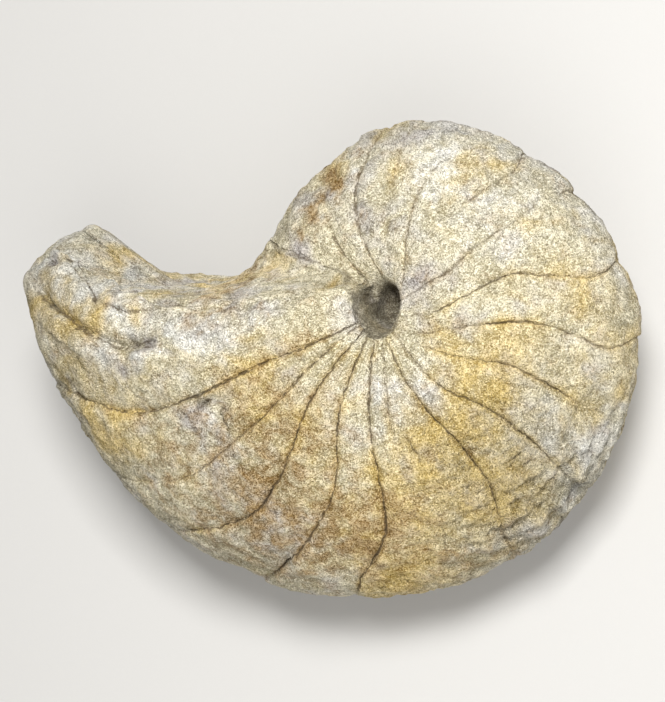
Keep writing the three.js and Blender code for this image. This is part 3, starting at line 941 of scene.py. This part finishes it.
def sandy_grain_group():
    """Sand grains, the dark holes between them, and drifts of lighter and darker sand."""
    inputs = {"Vector": None, "Grain Size": GRAIN_SIZE}
    group, w, given, out = new_group("sandy grain", inputs, ("Tone", "Holes", "Height"))
    at = w.resized(given["Vector"], GRAIN_SIZE, given["Grain Size"])
    grains = w.noise(at, 0.25, 1.0, 0.5, 1.2)
    clumps = w.noise(at, 1.7, 3.0, 0.6, 0.6)
    drifts = w.noise(at, 6.0, 3.0, 0.55)
    curl = w.math("ABSOLUTE", w.plus(w.noise(at, 1.5, 1.0, 0.5, 1.5), -0.5))
    curls = w.ramp(curl, 0.0, 0.07, 1.0, 0.0)
    holes = w.ramp(w.noise(at, 0.65, 2.0, 0.7, 1.0), 0.6, 0.68)
    sand = w.plus(w.times(grains, 0.6), w.times(clumps, 0.22), w.times(drifts, 0.12), w.times(curls, 0.08))
    w.join(sand, out["Tone"])
    w.join(holes, out["Holes"])
    w.join(w.plus(grains, clumps, w.times(curls, 0.35), w.times(holes, -0.5)), out["Height"])
    return group


def stain_group():
    """A soaked-in tint whose soft amount breaks up into patches and specks."""
    inputs = {"Vector": None, "Amount": 0.5, "Patch Size": PATCH_SIZE}
    group, w, given, out = new_group("soaked stain", inputs, ("Mask",))
    at = w.resized(given["Vector"], PATCH_SIZE, given["Patch Size"])
    patches = w.plus(w.noise(at, PATCH_SIZE, 2.0, 0.5, 0.5), -0.5)
    w.join(w.ramp(w.plus(given["Amount"], w.times(patches, 2.2)), -0.05, 1.25), out["Mask"])
    return group


def worn_line_group():
    """A thin line along a suture or crack, and painted shade in the gap where it gapes."""
    inputs = {"Vector": None, "Side": 1.0, "Wear": 0.0, "Width": 0.25}
    group, w, given, out = new_group("worn line", inputs, ("Line", "Gap Shade", "Height"))
    ragged_edge = w.plus(w.noise(given["Vector"], 1.6, 3.0, 0.7), -0.5)
    side = w.plus(given["Side"], w.times(ragged_edge, 1.3))
    uneven = w.noise(given["Vector"], 2.4, 2.0, 0.6)
    width = w.times(given["Width"], w.ramp(uneven, 0.3, 0.7, 0.5, 1.5))
    strength = w.times(given["Wear"], w.ramp(uneven, 0.3, 0.5, 0.4, 1.2))
    line = w.times(w.bell(side, width), strength)
    w.join(w.math("MINIMUM", line, 1.0), out["Line"])
    wide = w.bell(side, w.plus(width, 0.28))
    # Painted shade where the line gapes open.
    w.join(w.times(wide, w.ramp(given["Wear"], 1.15, 1.6)), out["Gap Shade"])
    w.join(w.times(line, -1.0), out["Height"])
    return group


GROUP_MAKERS = {
    "sandy grain": sandy_grain_group,
    "soaked stain": stain_group,
    "worn line": worn_line_group,
}


def finish_groups():
    """The shared shader groups, built once."""
    return {name: bpy.data.node_groups.get(name) or make() for name, make in GROUP_MAKERS.items()}


def new_material(name):
    material = bpy.data.materials.new(name)
    material.use_nodes = True
    wiring = Wiring(material.node_tree)
    return material, wiring, material.node_tree.nodes["Principled BSDF"]


def sandstone(colours, groups):
    """Cream sandstone with soaked tints, sandy grain, dark sutures and cracks, pits darkened by dirty
    sediment and painted shade, and painted light and shade in some tints, lines, gaps and the relief's
    tone.
    """
    material, w, shader = new_material("cream sandstone")
    at = w.node("ShaderNodeTexCoord").outputs["Object"]
    suture, suture_wear, dirt_and_shade = w.field("suture")
    crack, crack_wear, beyond_dirt_and_shade = w.field("crack")
    rough, proud_light_and_shade, end = w.field("form")
    pattern = w.node("ShaderNodeAttribute", attribute_name="pattern").outputs["Vector"]
    tint = w.node("ShaderNodeAttribute", attribute_name="tint").outputs
    gold, grey, brown = w.node("ShaderNodeSeparateColor", {0: tint["Color"]}).outputs[:3]

    grain = w.group(groups["sandy grain"], Vector=at, Grain_Size=GRAIN_SIZE)
    colour = colours.sand
    # Soaked tints; the pale spots and some brown and grey ones among them are painted light and shade.
    for amount, paint, patch in (
        (tint["Alpha"], colours.chalk_and_light, 6.0),
        (gold, colours.gold, 8.0),
        (grey, colours.ash, 6.0),
        (brown, colours.rust_and_shade, 3.0),
    ):
        stain = w.group(groups["soaked stain"], Vector=at, Amount=amount, Patch_Size=patch)
        colour = w.blend(stain["Mask"], colour, paint)
    drawn_out = w.mapped(at, Rotation=(0, 0, -0.35), Scale=(0.16, 1, 1))
    striae = w.noise(drawn_out, 0.9, 3.0, 0.6, 1.2)
    streaked = w.times(w.plus(striae, -0.5), w.times(end, 0.3))
    # Raised bits of the worn relief are lightened and hollows darkened: painted light and shade.
    tone = w.plus(grain["Tone"], w.times(proud_light_and_shade, 0.05), streaked)
    colour = w.gamma(colour, 1 / DISPLAY_GAMMA)
    colour = w.blend(colours.grain_contrast, colour, w.ramp(tone, 0.35, 0.59, 0.0, 0.72), "LINEAR_LIGHT")
    colour = w.gamma(colour, DISPLAY_GAMMA)
    colour = w.blend(w.times(grain["Holes"], 0.35), colour, colours.seam)

    depth = w.times(grain["Height"], w.plus(w.times(rough, 0.3), 0.14))
    # Dark lines along sutures and cracks; some crack lines are painted shade.
    for side, wear, width in ((suture, suture_wear, 0.13), (crack, crack_wear, 0.16)):
        line = w.group(groups["worn line"], Vector=at, Side=side, Wear=wear, Width=width)
        colour = w.blend(w.times(line["Line"], 0.8), colour, colours.seam)
        # Painted shade at the bottom of a gaping suture or crack.
        colour = w.blend(line["Gap Shade"], colour, colours.gap)
        depth = w.plus(depth, w.times(line["Height"], 0.25))
    # The pits' dark colour is dirt together with painted shade.
    frayed = w.times(w.plus(w.noise(at, 1.2, 3.0, 0.6), -0.5), 2.0)
    in_dirt_and_shade = w.ramp(w.plus(beyond_dirt_and_shade, frayed), -1.0, 0.8, 1.0, 0.0)
    patchy = w.ramp(w.noise(at, 2.2, 3.0, 0.65, 1.0), 0.35, 0.62, 1.06, 0.78)
    sandy = w.ramp(grain["Tone"], 0.4, 0.62, 1.0, 0.72)
    colour = w.blend(w.times(in_dirt_and_shade, dirt_and_shade, patchy, sandy), colour, colours.pit)
    w.join(colour, shader.inputs["Base Color"])

    scratches = w.times(w.noise(w.mapped(pattern, Scale=(1, 0.3, 1)), 0.9, 3.0, 0.6), 0.12)
    depth = w.plus(depth, scratches, w.times(striae, end, 0.45))
    bump = w.node("ShaderNodeBump", {"Height": depth, "Distance": MM, "Strength": 1.0})
    w.join(bump.outputs[0], shader.inputs["Normal"])
    w.join(w.ramp(grain["Tone"], 0.35, 0.65, 0.92, 0.7), shader.inputs["Roughness"])
    w.join(0.35, shader.inputs["Specular IOR Level"])
    return material


def studio_card(colours, groups):
    """Pale matt card with a faint grain."""
    material, w, shader = new_material("pale card")
    at = w.node("ShaderNodeTexCoord").outputs["Object"]
    grain = w.group(groups["sandy grain"], Vector=at, Grain_Size=CARD_GRAIN_SIZE)
    shade = w.ramp(grain["Tone"], 0.3, 0.7, 0.985, 1.0)
    w.join(w.blend(1.0, colours.card, shade, "MULTIPLY"), shader.inputs["Base Color"])
    w.join(0.95, shader.inputs["Roughness"])
    return material


# ---- properties ----


def length_property(name, description, default):
    return FloatProperty(
        name=name, description=description, default=default, unit="LENGTH", subtype="DISTANCE", precision=5
    )


def angle_property(name, description, degrees):
    return FloatProperty(
        name=name, description=description, default=np.radians(degrees), unit="ROTATION", subtype="ANGLE"
    )


def power_property(name, description, default):
    return FloatProperty(name=name, description=description, default=default, unit="POWER")


def factor_property(name, description, default):
    return FloatProperty(name=name, description=description, default=default, min=0.0)


def colour_property(name, description, default):
    return FloatVectorProperty(name=name, description=description, default=default, size=4, subtype="COLOR")


class FossilShape(bpy.types.PropertyGroup):
    """Sizes of the stone's relief and the fineness of its skin."""

    columns: IntProperty(name="Columns", description="Columns round the coil", default=620, min=60)
    pit_rows: IntProperty(name="Pit rows", description="Rows from the pit to the flank", default=30, min=4)
    flank_rows: IntProperty(name="Flank rows", description="Rows from flank to flank", default=116, min=20)
    groove_depth: length_property("Groove depth", "Depth of a well worn suture", 0.0006)
    chamber_bulge: length_property("Chamber bulge", "Rise of a chamber's middle above its sutures", 0.00045)
    suture_step: length_property("Suture step", "Step down from a chamber to the younger one", 0.0007)
    wear: factor_property("Wear", "Strength of the worn relief", 1.0)


class FossilColours(bpy.types.PropertyGroup):
    """Colours of the stone and of the card under it."""

    sand: colour_property("Sand", "Cream sand that makes up the stone", (0.66, 0.60, 0.43, 1))
    # Pale patches, and painted light on the outer edge and on spots that the relief shades.
    chalk_and_light: colour_property("Chalk", "Pale worn crests", (0.76, 0.745, 0.68, 1))
    gold: colour_property("Gold", "Ochre that has soaked in", (0.71, 0.54, 0.22, 1))
    ash: colour_property("Ash", "Lilac grey patches", (0.42, 0.385, 0.355, 1))
    # Iron stains, and painted shade along the long groove and on the flank's low side.
    rust_and_shade: colour_property("Rust", "Iron stains", (0.36, 0.24, 0.1, 1))
    grain_contrast: factor_property("Grain contrast", "How far the grains lighten and darken a colour", 0.3)
    # Also the colour of crack lines, which at the lip's edge, the long groove and the chip are painted
    # shade.
    seam: colour_property("Seam", "Dirt in the sutures", (0.11, 0.075, 0.035, 1))
    # Painted shade at the bottom of an open suture.
    gap: colour_property("Gap Shade", "Bottom of an open suture", (0.03, 0.022, 0.014, 1))
    # The pits' colour stands for dirt and for painted shade down in them.
    pit: colour_property("Pit", "Dirt in the umbilical pits", (0.075, 0.058, 0.036, 1))
    card: colour_property("Card", "Card that the stone lies on", (0.56, 0.55, 0.53, 1))


class FossilStudio(bpy.types.PropertyGroup):
    """The light and the viewing point."""

    key_power: power_property("Key light", "Power of the main soft light", 4.45)
    fill_power: power_property("Fill light", "Power of the fill light", 1.7)
    surround: factor_property("Surround", "Brightness of the room", 0.27)
    distance: length_property("Camera distance", "From the coil's centre to the camera", 0.38)
    azimuth: angle_property("Camera azimuth", "Turn of the view about the coil's upright", 18)
    elevation: angle_property("Camera elevation", "Rise of the view above the coil axis", 4)


class FossilSettings(bpy.types.PropertyGroup):
    """Everything a user can change."""

    shape: PointerProperty(type=FossilShape)
    colours: PointerProperty(type=FossilColours)
    studio: PointerProperty(type=FossilStudio)


# ---- the studio ----


def studio_floor(colours):
    """Square card just under the stone."""
    corners = np.array([[-1, -1], [1, -1], [1, 1], [-1, 1]]) * FLOOR_HALF_WIDTH
    points = np.column_stack([corners, np.full(4, -FLOOR_GAP)])
    floor = mesh_object("studio_floor", points, np.array([[0, 1, 2, 3]]))
    floor.data.materials.append(studio_card(colours, finish_groups()))
    return floor


def soft_light(name, place, size, power):
    """Square light aimed at the stone's middle."""
    light = bpy.data.lights.new(name, "AREA")
    light.size = size
    light.energy = power
    lamp = bpy.data.objects.new(name, light)
    bpy.context.scene.collection.objects.link(lamp)
    lamp.location = place
    lamp.rotation_euler = (Vector(place) - Vector(STONE_MIDDLE)).to_track_quat("Z", "Y").to_euler()


def studio_lights(scene, studio):
    """A soft light high above the far right side, a fill beside the camera and a pale room."""
    soft_light("key light", *KEY_LIGHT, studio.key_power)
    soft_light("fill light", *FILL_LIGHT, studio.fill_power)
    room = bpy.data.worlds.new("pale room")
    room.use_nodes = True
    background = room.node_tree.nodes["Background"]
    background.inputs["Color"].default_value = ROOM_COLOUR
    background.inputs["Strength"].default_value = studio.surround
    scene.world = room


def coil_centre():
    """Where the coil's centre lies, from a coarse skin set in the solid's place."""
    rays = column_rays(columns=160, pit_rows=4, flank_rows=50, far_pit_rows=3)
    return ground_offset(stone_to_ground(skin_points(*rays).reshape(-1, 3)))


def studio_camera(scene, studio):
    """Looks down on the upper flank, with the open end to the left.

    The view runs along (sin az cos el, sin el, cos az cos el) of the coil frame, leant over with the
    stone, and the coil's centre stands off the view's middle by VIEW_CENTRING.
    """
    turn, rise = studio.azimuth, studio.elevation
    toward = np.array([np.sin(turn) * np.cos(rise), np.sin(rise), np.cos(turn) * np.cos(rise)])
    right = np.cross([0, 1, 0], toward)
    right /= np.linalg.norm(right)
    up = np.cross(toward, right)
    lean = coil_to_ground()
    aim = (right * VIEW_CENTRING[0] + up * VIEW_CENTRING[1]) * MM
    place = lean @ (aim + toward * studio.distance) + coil_centre()
    axes = lean @ np.stack([right, up, toward], -1)
    lens = bpy.data.cameras.new("camera")
    lens.sensor_fit = "HORIZONTAL"
    lens.lens = lens.sensor_width * studio.distance / (VIEW_WIDTH * MM)
    camera = bpy.data.objects.new("camera", lens)
    camera.matrix_world = Matrix.Translation(place) @ Matrix(axes).to_4x4()
    scene.collection.objects.link(camera)
    scene.camera = camera


# ---- operators and panel ----


class FOSSIL_OT_stone(bpy.types.Operator):
    """Make the fossil: one stone with its sutures, cracks, pits and stains"""

    bl_idname = "fossil.stone"
    bl_label = "Make the stone"

    def execute(self, context):
        settings = context.scene.fossil
        skin, fields = worn_skin(settings.shape)
        columns, rows = skin.shape[:2]
        poles = np.array([[*PIT_CENTRE, PIT_FLOOR], [*PIT_CENTRE, -PIT_FLOOR]])
        points = stone_to_ground(np.concatenate([skin.reshape(-1, 3), poles]))
        points += ground_offset(points)
        points[:, 2] = np.maximum(points[:, 2], 0)
        piece = mesh_object("fossil_nautilus_stone", points, *grid_faces(columns, rows))
        for name, values in fields.items():
            ends = np.stack([values[:, 0].mean(0), values[:, -1].mean(0)])
            add_field(piece.data, name, np.concatenate([values.reshape(-1, values.shape[-1]), ends]))
        piece.data.materials.append(sandstone(settings.colours, finish_groups()))
        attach(piece, "root")
        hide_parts("fossil_nautilus")
        return {"FINISHED"}


class FOSSIL_OT_stage(bpy.types.Operator):
    """Set up the pale floor, the soft lights and the camera"""

    bl_idname = "fossil.stage"
    bl_label = "Set up the studio"

    def execute(self, context):
        settings = context.scene.fossil
        floor = studio_floor(settings.colours)
        studio_lights(context.scene, settings.studio)
        studio_camera(context.scene, settings.studio)
        context.scene.view_settings.view_transform = "Standard"
        return {"FINISHED"}


class FOSSIL_PT_panel(bpy.types.Panel):
    """Sizes, colours and light of the fossil, and the buttons that make it"""

    bl_label = "Fossil Nautilus"
    bl_idname = "FOSSIL_PT_panel"
    bl_space_type = "VIEW_3D"
    bl_region_type = "UI"
    bl_category = "Fossil"

    def draw(self, context):
        settings = context.scene.fossil
        groups = {"Stone": settings.shape, "Colours": settings.colours, "Studio": settings.studio}
        for title, group in groups.items():
            box = self.layout.box()
            box.label(text=title)
            for name in group.bl_rna.properties.keys():
                if name not in ("rna_type", "name"):
                    box.prop(group, name)
        self.layout.operator(FOSSIL_OT_stone.bl_idname)
        self.layout.operator(FOSSIL_OT_stage.bl_idname)


CLASSES = (
    FossilShape, FossilColours, FossilStudio, FossilSettings,
    FOSSIL_OT_stone, FOSSIL_OT_stage, FOSSIL_PT_panel,
)


def register():
    for part in CLASSES:
        bpy.utils.register_class(part)
    bpy.types.Scene.fossil = PointerProperty(type=FossilSettings)


def unregister():
    del bpy.types.Scene.fossil
    for part in reversed(CLASSES):
        bpy.utils.unregister_class(part)


def main():
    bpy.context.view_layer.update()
    register()
    bpy.ops.fossil.stone()
    bpy.ops.fossil.stage()
    bpy.context.view_layer.update()


if __name__ == "__main__":
    main()
